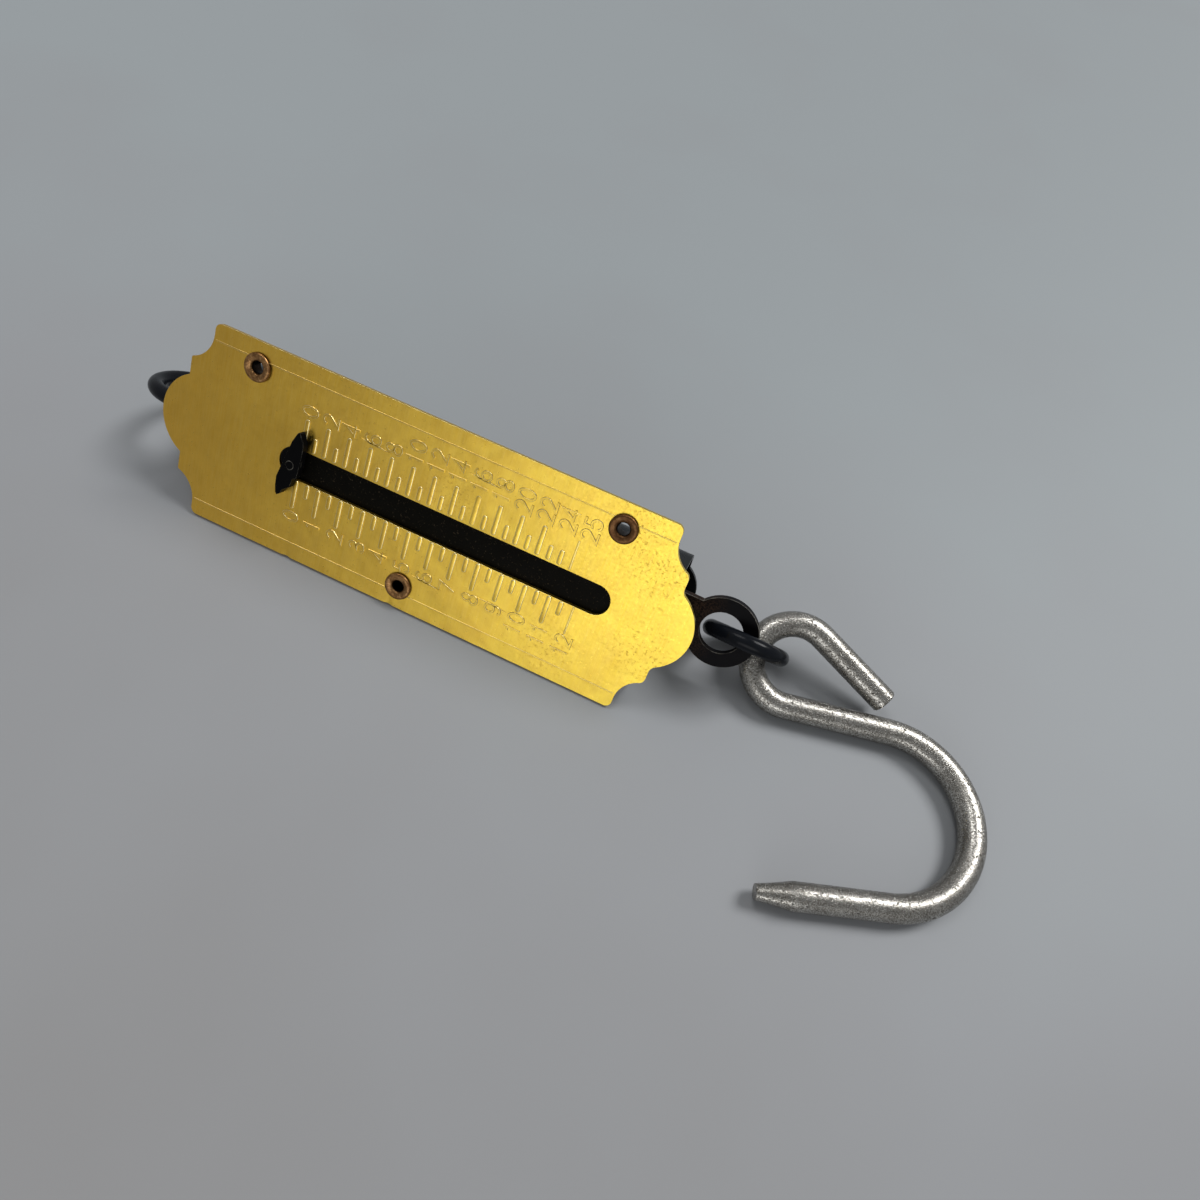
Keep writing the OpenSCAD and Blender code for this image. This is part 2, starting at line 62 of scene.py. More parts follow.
edge_drop = BACK_DEPTH - SHEET
ROLL = math.atan(edge_drop / HALF_WIDTH) + math.asin(BACK_RADIUS / math.hypot(HALF_WIDTH, edge_drop))
FLOOR = (FACE - SHEET) * math.cos(ROLL) - HALF_WIDTH * math.sin(ROLL)
LAID_DOWN = Matrix.Rotation(ROLL, 4, "X")


# ---- Finishes

def paint(red, green, blue):
    """A colour as it is seen, out of 255, in the shader's own numbers"""
    seen = [value / 255 for value in (red, green, blue)]
    return [v / 12.92 if v < 0.04 else ((v + 0.055) / 1.055) ** 2.4 for v in seen] + [1]


class Finish:
    """A material whose patterns lie in the balance's own frame, one unit to a millimetre"""

    def __init__(self, name, roll, **surface):
        self.material = bpy.data.materials.new(name)
        self.material.use_nodes = True
        self.nodes = self.material.node_tree.nodes
        self.links = self.material.node_tree.links
        self.shader = self.nodes["Principled BSDF"]
        for socket, value in surface.items():
            self.shader.inputs[socket.replace("_", " ")].default_value = value
        place = self.nodes.new("ShaderNodeTexCoord").outputs["Object"]
        self.place = self.stretched((1 / MM,) * 3, place, turn=(-roll, 0, 0))

    def put(self, kind, inputs, **settings):
        """A new shader node, fed with plain values or with other nodes' outputs"""
        node = self.nodes.new("ShaderNode" + kind)
        for name, value in settings.items():
            setattr(node, name, value)
        for name, value in inputs.items():
            if hasattr(value, "is_linked"):
                self.links.new(value, node.inputs[name])
            else:
                node.inputs[name].default_value = value
        return node

    def stretched(self, scale, place=None, turn=(0, 0, 0)):
        return self.put("Mapping", {"Vector": place or self.place, "Scale": scale,
                                    "Rotation": turn}).outputs["Vector"]

    def grain(self, size, detail, place=None, rough=0.5):
        """Cloudy noise whose lumps are about this many millimetres across"""
        return self.put("TexNoise", {"Vector": place or self.place, "Scale": 1 / size,
                                     "Detail": detail, "Roughness": rough}).outputs["Fac"]

    def ramp(self, value, stops):
        """Greys or colours between these stops, each given as a place and a value"""
        node = self.put("ValToRGB", {"Fac": value})
        ends = node.color_ramp.elements
        while len(ends) < len(stops):
            ends.new(0.5)
        for end, (place, colour) in zip(ends, stops):
            end.position = place
            end.color = colour if isinstance(colour, list) else [colour] * 3 + [1]
        return node.outputs["Color"]

    def sum(self, kind, first, second):
        return self.put("Math", {0: first, 1: second}, operation=kind).outputs[0]

    def mix(self, share, under, over):
        """This share of one colour laid over another"""
        node = self.put("Mix", {}, data_type="RGBA")
        for socket, value in ((0, share), (6, under), (7, over)):
            if hasattr(value, "is_linked"):
                self.links.new(value, node.inputs[socket])
            else:
                node.inputs[socket].default_value = value
        return node.outputs[2]

    def near(self, spots, reach):
        """One at each of these places, falling to nothing at its reach in millimetres"""
        found = None
        for spot in spots:
            gap = self.put("VectorMath", {0: self.place, 1: spot}, operation="DISTANCE").outputs["Value"]
            here = self.put("MapRange", {"Value": gap, "From Min": 0.0, "From Max": reach,
                                         "To Min": 1.0, "To Max": 0.0}).outputs["Result"]
            found = here if found is None else self.sum("MAXIMUM", found, here)
        return found

    def rubbed(self):
        """How far the finish is rubbed off here and painted pale as a highlight, as the pieces' faces are
        marked
        """
        return self.put("Attribute", {}, attribute_name="rubbed").outputs["Fac"]

    def bump(self, height, depth):
        node = self.put("Bump", {"Height": height, "Distance": depth * MM, "Strength": 1.0})
        self.links.new(node.outputs["Normal"], self.shader.inputs["Normal"])

    def wear(self, socket, value):
        self.links.new(value, self.shader.inputs[socket])


def brass_finish():
    """Brushed brass, dulled in clouds and stained in spots, with a painted reflection that lightens its right
    end, a painted reflection of the pointer's wing, and edges and ridges rubbed bright, their brightness
    partly a painted highlight
    """
    brass = Finish("worn_brass", ROLL, Metallic=1.0, Anisotropic=0.35)
    brushed = brass.grain(1, 3, brass.stretched((7, 0.25, 0.25)))
    cloudy = brass.grain(9, 3)
    fine = brass.grain(0.5, 4)
    # The base colour grows lighter and yellower towards the right end: a painted reflection of the brighter
    # light that end catches
    along = brass.put("SeparateXYZ", {"Vector": brass.place}).outputs["X"]
    along = brass.put("MapRange", {"Value": along, "From Min": -6.0, "From Max": 98.0}).outputs["Result"]
    body = brass.ramp(along, [(0.0, paint(231, 181, 70)), (0.5, paint(236, 196, 74)),
                              (1.0, paint(242, 214, 78))])
    dulled = brass.mix(brass.ramp(cloudy, [(0.35, 0.0), (0.75, 0.4)]), body, paint(206, 160, 58))
    mottled = brass.ramp(brass.grain(2.2, 5, rough=0.75), [(0.42, 0.0), (0.66, 0.3)])
    dulled = brass.mix(mottled, dulled, paint(206, 160, 60))
    streaked = brass.mix(brass.ramp(brushed, [(0.3, 0.0), (0.8, 0.2)]), dulled, paint(252, 230, 140))
    specks = brass.ramp(brass.grain(0.6, 3, rough=0.75), [(0.54, 0.0), (0.66, 1.0)])
    spots = [(ZERO_X + 66, 9, FACE), (ZERO_X + 60, 15, FACE), (ZERO_X + 68, -6, FACE),
             (ZERO_X + 52, -12, FACE), (ZERO_X + 28, 7, FACE)]
    stained = brass.sum("MULTIPLY", specks, brass.ramp(brass.near(spots, 9.0), [(0.1, 0.0), (0.9, 0.55)]))
    # A dark olive patch beside the pointer's upper wing: a painted reflection of the wing in the polished
    # brass
    reflection_stretch = 0.4
    wing_reflection_spot = brass.put("VectorMath", {0: brass.stretched((1, reflection_stretch, 1)),
                                       1: (ZERO_X + 1.1, 5.2 * reflection_stretch, FACE)}, operation="DISTANCE")
    painted_wing_reflection = brass.sum("MULTIPLY", brass.ramp(wing_reflection_spot.outputs["Value"], [(0.3, 1.0), (1.0, 0.0)]),
                     brass.ramp(brass.grain(0.7, 3, rough=0.7), [(0.3, 0.25), (0.55, 1.0)]))
    browned = brass.mix(stained, streaked, paint(176, 126, 42))
    # Edges and ridge sides are painted near white: rubbed brass with a painted highlight
    rubbed = brass.mix(brass.sum("MULTIPLY", brass.rubbed(), 0.8), browned, paint(255, 244, 190))
    brass.wear("Base Color", brass.mix(painted_wing_reflection, rubbed, paint(62, 56, 18)))
    dull = brass.ramp(fine, [(0.3, 0.27), (0.75, 0.38)])
    brass.wear("Roughness", brass.sum("ADD", dull, brass.sum("MULTIPLY", stained, 0.3)))
    wavy = brass.sum("ADD", brass.sum("MULTIPLY", cloudy, 3.0), brass.sum("MULTIPLY", brushed, 0.12))
    brass.bump(brass.sum("ADD", wavy, brass.sum("MULTIPLY", fine, 0.14)), 0.05)
    return brass.material


def black_finish(name, tint, shine, worn, worn_share, gloss, roll=ROLL, spots=(), reach=None):
    """Black stove enamel that is rubbed and rusted through in places, most of all on the edges, which are
    also painted pale as a highlight
    """
    black = Finish(name, roll, Metallic=0.0, Specular_IOR_Level=gloss)
    lumps = black.grain(0.45, 4, rough=0.75)
    chipped = black.ramp(lumps, [(1 - worn_share, 0.0), (min(1.0, 1.07 - worn_share), 1.0)])
    if spots:
        bared = black.ramp(black.grain(0.3, 3, rough=0.8), [(0.42, 0.0), (0.58, 1.0)])
        chipped = black.sum("MAXIMUM", chipped, black.sum("MULTIPLY", bared, black.near(spots, reach)))
    cloud = black.mix(black.grain(4, 2), tint, [channel * 1.7 for channel in tint[:3]] + [1])
    patchy = black.ramp(black.grain(1.2, 3, rough=0.7), [(0.35, 0.15), (0.62, 0.85)])
    # Edges painted pale: bare worn metal and a painted highlight line
    edge = black.sum("MULTIPLY", black.rubbed(), patchy)
    enamel = black.mix(chipped, cloud, worn)
    black.wear("Base Color", black.mix(edge, enamel, paint(150, 146, 136)))
    black.wear("Roughness", black.sum("ADD", black.sum("MULTIPLY", chipped, 0.35),
                                      black.ramp(black.grain(2, 3), [(0.3, shine), (0.8, shine + 0.14)])))
    black.bump(black.sum("SUBTRACT", black.sum("MULTIPLY", black.grain(0.8, 3), 0.5), chipped), 0.03)
    return black.material


def steel_finish(name, light, dark, speck, speck_share):
    """Drawn steel wire or plain turned steel, pitted and speckled all over"""
    steel = Finish(name, 0.0, Metallic=1.0)
    pits = steel.ramp(steel.grain(0.5, 4, rough=0.8), [(1 - speck_share, 0.0), (1.1 - speck_share, 1.0)])
    grains = steel.ramp(steel.grain(0.24, 3, rough=0.8), [(0.45, 0.0), (0.56, 1.0)])
    blotches = steel.ramp(steel.grain(3.5, 4, rough=0.65), [(0.38, 0.0), (0.72, 1.0)])
    body = steel.mix(steel.sum("MULTIPLY", grains, 0.8), light, dark)
    body = steel.mix(steel.sum("MULTIPLY", blotches, 0.4), body, dark)
    steel.wear("Base Color", steel.mix(steel.sum("MULTIPLY", pits, 0.8), body, speck))
    steel.wear("Roughness", steel.sum("ADD", steel.ramp(grains, [(0.0, 0.2), (1.0, 0.38)]),
                                      steel.sum("MULTIPLY", pits, 0.25)))
    steel.bump(steel.sum("ADD", steel.sum("MULTIPLY", grains, -0.1), steel.sum("MULTIPLY", pits, -0.6)), 0.05)
    return steel.material


def eyelet_finish():
    """Browned bronze, darker at the right eyelet, with painted shade low down by the plate and inside the
    hole
    """
    eyelet = Finish("browned_eyelet", ROLL, Metallic=1.0)
    mottled = eyelet.grain(0.7, 4, rough=0.7)
    bronze = eyelet.ramp(mottled, [(0.3, paint(96, 66, 40)), (0.52, paint(150, 112, 72)),
                                   (0.75, paint(206, 164, 112))])
    # Darker low down by the plate and into the hole: painted shade
    height = eyelet.put("SeparateXYZ", {"Vector": eyelet.place}).outputs["Z"]
    painted_hole_shade = eyelet.put("MapRange", {"Value": height, "From Min": FACE + 0.5,
                                   "From Max": FACE + 0.1}).outputs["Result"]
    browner = eyelet.sum("MULTIPLY", eyelet.near([(PLATE_MIDDLE + 34.2, 13.6, FACE)], 12.0), 0.85)
    bronze = eyelet.mix(browner, bronze, paint(84, 54, 34))
    eyelet.wear("Base Color", eyelet.mix(painted_hole_shade, bronze, paint(38, 25, 15)))
    eyelet.wear("Roughness", eyelet.ramp(mottled, [(0.3, 0.5), (0.75, 0.3)]))
    eyelet.bump(mottled, 0.05)
    return eyelet.material


BRASS = brass_finish()
EYELET = eyelet_finish()
CASE_BLACK = black_finish("case_enamel", paint(13, 15, 16), 0.2, paint(54, 50, 44), 0.3, gloss=0.07)
PART_BLACK = black_finish("strip_enamel", paint(12, 11, 8), 0.34, paint(66, 58, 46), 0.4, gloss=0.03)
EYE_BLACK = black_finish("eye_enamel", paint(9, 8, 10), 0.26, paint(70, 53, 42), 0.3, gloss=0.04,
                         spots=[(93, 0, 1), (96, 3, 1), (96, -3, 1)], reach=6.0)
WIRE_BLACK = black_finish("ring_enamel", paint(14, 16, 20), 0.16, paint(44, 44, 46), 0.27,
                          gloss=0.12, roll=0.0)
POINTER_BLACK = black_finish("pointer_enamel", paint(8, 8, 9), 0.4, paint(34, 29, 24), 0.34, gloss=0.03)
HOOK_STEEL = steel_finish("hook_steel", paint(198, 196, 190), paint(90, 84, 75), paint(44, 38, 32), 0.45)
PLAIN_STEEL = steel_finish("plain_steel", paint(168, 170, 172), paint(112, 114, 116),
                           paint(60, 56, 52), 0.36)
SPRING_STEEL = steel_finish("spring_steel", paint(150, 152, 156), paint(98, 100, 104),
                            paint(60, 54, 48), 0.36)


# ---- Making and placing pieces

# Edges sharper than this are broken, and faces that lie nearly in one plane are joined
EDGE_ANGLE = math.radians(32)
FLAT_ANGLE = math.radians(0.3)
# Points closer than this are one point
MERGED = 0.002
MERGED_FINE = 0.001
# A ridge's face that looks up less than this is one of its sloping sides
FACING_UP = 0.97


def fresh(add=None, **sizes):
    """Nothing selected, then a new shape in edit mode with all of it selected"""
    bpy.ops.object.select_all(action="DESELECT")
    if add:
        add(**sizes)
        bpy.ops.object.transform_apply()
        bpy.ops.object.mode_set(mode="EDIT")
        return bpy.context.object


def made(piece, smooth):
    """Out of edit mode, with smooth faces up to this angle"""
    bpy.ops.object.mode_set(mode="OBJECT")
    bpy.ops.object.select_all(action="DESELECT")
    piece.select_set(True)
    bpy.context.view_layer.objects.active = piece
    bpy.ops.object.shade_smooth_by_angle(angle=math.radians(smooth))
    return piece


def pick(piece, wanted):
    """Selects the points of the piece whose place passes the test"""
    bpy.ops.object.mode_set(mode="OBJECT")
    for point in piece.data.vertices:
        point.select = wanted(point.co)
    for line in piece.data.edges:
        line.select = all(piece.data.vertices[end].select for end in line.vertices)
    for face in piece.data.polygons:
        face.select = all(piece.data.vertices[corner].select for corner in face.vertices)
    bpy.ops.object.mode_set(mode="EDIT")


def sewn(threshold=MERGED_FINE):
    """Merges the points that meet and turns every face outwards"""
    bpy.ops.mesh.select_all(action="SELECT")
    bpy.ops.mesh.remove_doubles(threshold=threshold)
    bpy.ops.mesh.normals_make_consistent(inside=False)


def scored(place, way):
    """Cuts every face that a plane crosses, and keeps both sides"""
    bpy.ops.mesh.select_all(action="SELECT")
    bpy.ops.mesh.bisect(plane_co=place, plane_no=way)


def copied(piece, name, stand):
    """A copy with its own mesh, set at its place"""
    copy = bpy.data.objects.new(name, piece.data.copy())
    bpy.context.scene.collection.objects.link(copy)
    copy.data.transform(stand @ piece.matrix_world)
    return copy


def joined(pieces):
    """All of these as one object, their places kept"""
    fresh()
    for piece in pieces:
        piece.select_set(True)
    bpy.context.view_layer.objects.active = pieces[0]
    bpy.ops.object.join()
    return bpy.context.object


def combined(piece, other, way):
    """Welds another shape on to the piece, or cuts it out"""
    weld = piece.modifiers.new("weld", "BOOLEAN")
    weld.operation = way
    weld.object = other
    weld.solver = "EXACT"
    fresh()
    piece.select_set(True)
    bpy.context.view_layer.objects.active = piece
    bpy.ops.object.modifier_apply(modifier=weld.name)
    bpy.data.objects.remove(other)
    return piece


def put_in(piece, name, body, material, stand=LAID_DOWN, node=None):
    """Sets a piece down where it belongs, on the body that carries it; a piece that lies between two bodies
    is only set in place, on no body
    """
    piece.name = name
    piece.data.name = name
    piece.data.materials.clear()
    piece.data.materials.append(material)
    piece.data.transform(Matrix.Scale(MM, 4) @ stand @ piece.matrix_world)
    piece.matrix_world = Matrix.Identity(4)
    if isinstance(body, str):
        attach(piece, body)
    else:
        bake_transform(piece)
    if node:
        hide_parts(node)
    return piece


def cleaned(node):
    """A merged copy of a part in the balance's own millimetres, in edit mode"""
    fresh()
    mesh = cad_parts[node].data.copy()
    mesh.transform(LAID_DOWN.inverted() @ Matrix.Scale(1 / MM, 4))
    piece = bpy.data.objects.new(node + "_finished", mesh)
    bpy.context.scene.collection.objects.link(piece)
    piece.select_set(True)
    bpy.context.view_layer.objects.active = piece
    if mesh.has_custom_normals:
        bpy.ops.mesh.customdata_custom_splitnormals_clear()
    bpy.ops.object.mode_set(mode="EDIT")
    bpy.ops.mesh.select_all(action="SELECT")
    bpy.ops.mesh.remove_doubles(threshold=MERGED)
    bpy.ops.mesh.dissolve_limited(angle_limit=FLAT_ANGLE)
    return piece


def edges_broken(piece, width):
    """Breaks the sheared or turned edges with a narrow flat, where a finish rubs off first and where a
    painted highlight goes
    """
    bpy.ops.object.mode_set(mode="OBJECT")
    piece.data.materials.clear()
    for _ in range(2):
        piece.data.materials.append(None)
    breaking = piece.modifiers.new("edges", "BEVEL")
    breaking.width = width
    breaking.segments = 1
    breaking.limit_method = "ANGLE"
    breaking.angle_limit = EDGE_ANGLE
    breaking.material = 1
    bpy.ops.object.modifier_apply(modifier=breaking.name)
    # The new flats alone carry the second material, so it tells which faces are rubbed and get a painted
    # highlight
    rubbed = piece.data.attributes.new("rubbed", "FLOAT", "FACE")
    for face, mark in zip(piece.data.polygons, rubbed.data):
        mark.value = face.material_index
    made(piece, 30)
    flats = piece.modifiers.new("flats", "WEIGHTED_NORMAL")
    flats.keep_sharp = True
    bpy.ops.object.modifier_apply(modifier=flats.name)
    return piece


def slopes_rubbed(piece):
    """Marks the sloping sides of a stamped ridge, which get a painted highlight"""
    rubbed = piece.data.attributes.new("rubbed", "FLOAT", "FACE")
    for face, mark in zip(piece.data.polygons, rubbed.data):
        mark.value = float(abs(face.normal.z) < FACING_UP)
    return piece


# ---- Brass face plate with its stamped scales

# Corners beside the lobes: place along the plate, distance from its middle, width of the rounding
CORNERS = ((PLATE_MIDDLE + 47.05, 10.68, 1.0), (PLATE_MIDDLE + 47.05, 7.36, 0.8),
           (PLATE_MIDDLE - 47.05, 10.68, 0.25))
CORNER_NEAR = 0.05
CORNER_MERGED = 0.03
PLATE_CHAMFER = 0.2
# Two nicks in the lower edge: places, half their length, depth, and how far in they fade out
DENTS = (ZERO_X + 0.7, ZERO_X + 22.2)
DENT_REACH = 1.1
DENT_DEPTH = 0.16
DENT_INWARD = 1.6
DENT_LINES = (0.5, 1.1)


def face_plate():
    """The pressed plate with rounded corners beside its lobes, and its lower edge nicked twice"""
    plate = cleaned("face_plate")
    for x, y, width in CORNERS:
        for side in (-y, y):
            pick(plate, lambda at: abs(at.x - x) < CORNER_NEAR and abs(at.y - side) < CORNER_NEAR)
            bpy.ops.mesh.bevel(offset=width, segments=5, affect="EDGES")
    # The roundings leave points that almost meet, which would shade as a dark line across the lobe
    bpy.ops.mesh.select_all(action="SELECT")
    bpy.ops.mesh.remove_doubles(threshold=CORNER_MERGED)
    for dent in DENTS:
        for step in range(-4, 5):
            scored((dent + step * DENT_REACH / 4, 0, 0), (1, 0, 0))
    for inset in DENT_LINES:
        scored((0, inset - HALF_WIDTH, 0), (0, 1, 0))
    edges_broken(plate, PLATE_CHAMFER)
    for point in plate.data.vertices:
        inward = point.co.y + HALF_WIDTH
        for dent in DENTS:
            along = abs(point.co.x - dent) / DENT_REACH
            if along < 1 and inward < DENT_INWARD:
                pushed = DENT_DEPTH * (1 - along ** 2) ** 2 * (1 - inward / DENT_INWARD)
                point.co.y += pushed
                point.co.z -= pushed / 3
    return put_in(plate, "brass_plate", "case", BRASS, node="face_plate")


def bow(middle, sizes, start, end, steps=14):
    """Points along part of an oval, from one angle in degrees to another"""
    turns = [math.radians(start + (end - start) * k / steps) for k in range(steps + 1)]
    return [(middle[0] + sizes[0] * math.cos(t), middle[1] + sizes[1] * math.sin(t)) for t in turns]


# Strokes of each numeral, in shares of its height from its lower left corner
SIX = [bow((0.3, 0.58), (0.29, 0.42), 48, 180, 10) + bow((0.28, 0.29), (0.27, 0.29), 180, -180, 20)]
NUMERALS = {
    "0": [bow((0.28, 0.5), (0.28, 0.5), 90, 450, 24)],
    "1": [[(0.06, 0.8), (0.28, 1.0), (0.28, 0.0)]],
    "2": [bow((0.28, 0.72), (0.27, 0.28), 170, -38) + [(0.0, 0.0), (0.58, 0.0)]],
    "3": [bow((0.27, 0.75), (0.24, 0.25), 155, -90) + bow((0.27, 0.26), (0.29, 0.26), 85, -155)],
    "4": [[(0.42, 0.0), (0.42, 1.0), (0.0, 0.32), (0.6, 0.32)]],
    "5": [[(0.52, 1.0), (0.09, 1.0), (0.05, 0.55)] + bow((0.27, 0.31), (0.28, 0.31), 125, -150)],
    "6": SIX,
    "7": [[(0.0, 1.0), (0.56, 1.0), (0.2, 0.0)]],
    "8": [bow((0.28, 0.75), (0.22, 0.25), -90, 270, 20), bow((0.28, 0.25), (0.28, 0.25), 90, -270, 20)],
    "9": [[(0.56 - u, 1 - v) for u, v in SIX[0]]],
}
NUMERAL_TALL = 2.9
NUMERAL_STEP = 0.76
NUMERAL_WIDE = 0.56
NUMERAL_LINE = 0.23
NUMERAL_RISE = 0.2
# Distance of each row of numbers from the middle, for one digit and for two
UPPER_ROW = (10.1, 11.2)
LOWER_ROW = (-9.9, -10.7)
# The numbers don't keep quite to their marks: where each row starts, and from one number to the next
UPPER_START, UPPER_PACE, UPPER_LAST = 0.15, 2.025, 52.7
LOWER_START, LOWER_PACE = 0.1, 4.55
# One step of the scale above the slot and of the one below it, and where their marks begin
UPPER_STEP = 51.4 / 25
LOWER_STEP = 54.4 / 12
UPPER_MARKS = 3.1
LOWER_MARKS = -2.9
# Marks: lengths, half width, rise and the shoulder's share of it, then what the worn ones keep
MARK_LONG = 5.5
MARK_SHORT = 2.75
MARK_HALF = 0.46
MARK_RISE = 0.18
MARK_SHOULDER = 0.75
THIN_HALF = 0.17
THIN_RISE = 0.13
FAINT_RISE = 0.08
BORDER_REACH = 42.9
BORDER_ASIDE = 15
BORDER_HALF = 0.13
BORDER_RISE = 0.09


def drawn_lines(name, lines, half, rise):
    """Stamped lines that stand out of the plate's face as low ridges with sloping sides and flat tops"""
    fresh()
    section = bpy.data.curves.new(name + "_section", "CURVE")
    side = [(1.0, -0.5), (1.0, 0.1), (0.92, 0.5), (0.78, 0.86), (0.58, 1.0)]
    outline = side + [(-x, y) for x, y in reversed(side)]
    corners = section.splines.new("POLY")
    corners.points.add(len(outline) - 1)
    corners.use_cyclic_u = True
    for corner, (x, y) in zip(corners.points, outline):
        corner.co = (x * half, y * rise, 0, 1)
    cutter = bpy.data.objects.new(section.name, section)
    bpy.context.scene.collection.objects.link(cutter)
    drawing = bpy.data.curves.new(name, "CURVE")
    drawing.dimensions = "2D"
    drawing.bevel_mode = "OBJECT"
    drawing.bevel_object = cutter
    drawing.use_fill_caps = True
    for line in lines:
        spline = drawing.splines.new("POLY")
        spline.points.add(len(line) - 1)
        for point, (x, y) in zip(spline.points, line):
            point.co = (x, y, 0, 1)
    piece = bpy.data.objects.new(name, drawing)
    bpy.context.scene.collection.objects.link(piece)
    piece.select_set(True)
    bpy.context.view_layer.objects.active = piece
    bpy.ops.object.convert(target="MESH")
    piece = bpy.context.object
    bpy.data.objects.remove(cutter)
    bpy.ops.object.mode_set(mode="EDIT")
    sewn(0.0005)
    bpy.ops.transform.translate(value=(0, 0, FACE))
    slopes_rubbed(made(piece, 30))
    return put_in(piece, name, "case", BRASS)


def numeral_lines(text, x, y):
    """A number read from the lower edge towards the upper, with its top towards the ring"""
    width = NUMERAL_STEP * (len(text) - 1) + NUMERAL_WIDE
    lines = []
    for place, digit in enumerate(text):
        for stroke in NUMERALS[digit]:
            lines.append([(x - (v - 0.5) * NUMERAL_TALL,
                           y + (u + place * NUMERAL_STEP - width / 2) * NUMERAL_TALL) for u, v in stroke])
    return lines


def scale_numerals():
    """Every second number and the last one above the slot, every number below it"""
    lines = []
    for number in list(range(0, 25, 2)) + [25]:
        text = str(number)
        x = UPPER_LAST if number == 25 else UPPER_START + UPPER_PACE * number
        lines += numeral_lines(text, ZERO_X + x, UPPER_ROW[len(text) - 1])
    for number in range(13):
        text = str(number)
        lines += numeral_lines(text, ZERO_X + LOWER_START + LOWER_PACE * number, LOWER_ROW[len(text) - 1])
    return drawn_lines("scale_numerals", lines, NUMERAL_LINE, NUMERAL_RISE)


def border_lines():
    """A fine line along each long edge"""
    ends = (PLATE_MIDDLE - BORDER_REACH, PLATE_MIDDLE + BORDER_REACH)
    lines = [[(x, y) for x in ends] for y in (-BORDER_ASIDE, BORDER_ASIDE)]
    return drawn_lines("border_lines", lines, BORDER_HALF, BORDER_RISE)


def stamped_mark(length, half, rise):
    """One stamped mark from the zero line outwards: a flat-topped ridge with round ends"""
    piece = fresh(bpy.ops.mesh.primitive_cylinder_add, vertices=20, radius=half, depth=2 * rise,
                  location=(0, half, FACE))
    pick(piece, lambda at: at.y > half + 0.01)
    bpy.ops.transform.translate(value=(0, length - 2 * half, 0))
    pick(piece, lambda at: at.z > FACE)
    bpy.ops.mesh.bevel(offset=rise * MARK_SHOULDER, segments=3, affect="EDGES")
    return slopes_rubbed(made(piece, 30))


def scale_ticks():
    """Every mark is a copy of the long, the short, the faint or the thin last one"""
    long_mark = stamped_mark(MARK_LONG, MARK_HALF, MARK_RISE)
    short_mark = stamped_mark(MARK_SHORT, MARK_HALF, MARK_RISE)
    thin_mark = stamped_mark(MARK_LONG, THIN_HALF, THIN_RISE)
    faint_mark = stamped_mark(MARK_LONG, MARK_HALF, FAINT_RISE)
    places = []
    for step in range(26):
        mark = long_mark if step % 2 == 0 and step != 24 else short_mark
        mark = {25: thin_mark, 16: faint_mark}.get(step, mark)
        places.append((mark, step * UPPER_STEP, UPPER_MARKS, 0))
    for half_step in range(25):
        mark = long_mark if half_step % 2 == 0 else short_mark
        mark = thin_mark if half_step == 24 else mark
        places.append((mark, half_step * LOWER_STEP / 2, LOWER_MARKS, math.pi))
    copies = [copied(mark, "mark", Matrix.Translation((ZERO_X + x, y, 0)) @ Matrix.Rotation(turn, 4, "Z"))
              for mark, x, y, turn in places]
    for mark in (long_mark, short_mark, thin_mark, faint_mark):
        bpy.data.objects.remove(mark)
    return put_in(joined(copies), "scale_ticks", "case", BRASS)


# ---- Eyelets, rolled from tube

# Places on the plate, and the profile in radii and heights above the plate's face
EYELET_PLACES = [(PLATE_MIDDLE - 34.2, 13.6), (PLATE_MIDDLE + 34.2, 13.6), (PLATE_MIDDLE, -13.6)]
EYELET_PROFILE = [(1.57, 0.02), (2.40, 0.02), (2.50, 0.16), (2.525, 0.34), (2.47, 0.52), (2.33, 0.65),
                  (2.10, 0.70), (1.85, 0.67), (1.60, 0.62), (1.38, 0.55), (1.22, 0.42), (1.10, 0.22),
                  (1.05, 0.0), (1.05, -2.09), (2.08, -1.80), (2.10, -1.62), (1.57, -1.62)]


def turned(profile, sides=48):
    """A ring turned from a closed profile of radii and heights, by drawing a circle out step by step"""
    radius, height = profile[0]
    piece = fresh(bpy.ops.mesh.primitive_circle_add, vertices=sides, radius=radius,
                  location=(0, 0, height), fill_type="NOTHING")
    for wider, higher in profile[1:] + profile[:1]:
        bpy.ops.mesh.extrude_region_move(TRANSFORM_OT_translate={"value": (0, 0, higher - height)})
        bpy.ops.transform.resize(value=(wider / radius, wider / radius, 1), center_override=(0, 0, higher))
        radius, height = wider, higher
    sewn()
    return made(piece, 60)


def eyelets():
    """One rolled eyelet at each of its three places"""
    ring = turned(EYELET_PROFILE)
    rings = [copied(ring, "eyelet", Matrix.Translation((x, y, FACE))) for x, y in EYELET_PLACES]
    bpy.data.objects.remove(ring)
    return put_in(joined(rings), "rolled_eyelets", "case", EYELET, node="eyelets")


# ---- Winged pointer

# Outline of the crossbar round the zero mark
POINTER_BAR = [(-3.04, -2.88), (-2.94, -4.54), (-2.69, -5.85), (-2.39, -6.23), (-1.87, -5.85), (-1.46, -4.88),
               (-0.82, -4.35), (-0.29, -4.06), (-0.10, -3.15), (0.08, -2.23), (0.73, -1.80), (0.94, 0.6),
               (1.01, 3.57), (0.94, 4.22), (0.81, 4.84), (0.27, 5.69), (0.0, 6.31), (-0.35, 6.3),
               (-0.57, 5.94), (-1.26, 4.37)]
POINTER_FOOT = FACE - SHEET - 0.3
POINTER_UNDER = FACE + 0.3
POINTER_TOP = FACE + 1.7
BOSS_RADIUS = 2.17
BOSS_HIGH = 1.1
BOSS_ROUNDING = 0.5
BOSS_AT = (ZERO_X - 1.1, 0.95)
STEM_LONG = 1.9
STEM_WIDE = 5.05
STEM_TOP = POINTER_TOP - 0.6
RIVET_AT = (ZERO_X - STEM_LONG / 2, 0)
RIVET_HOLE = 0.83
POINTER_CHAMFER = 0.12


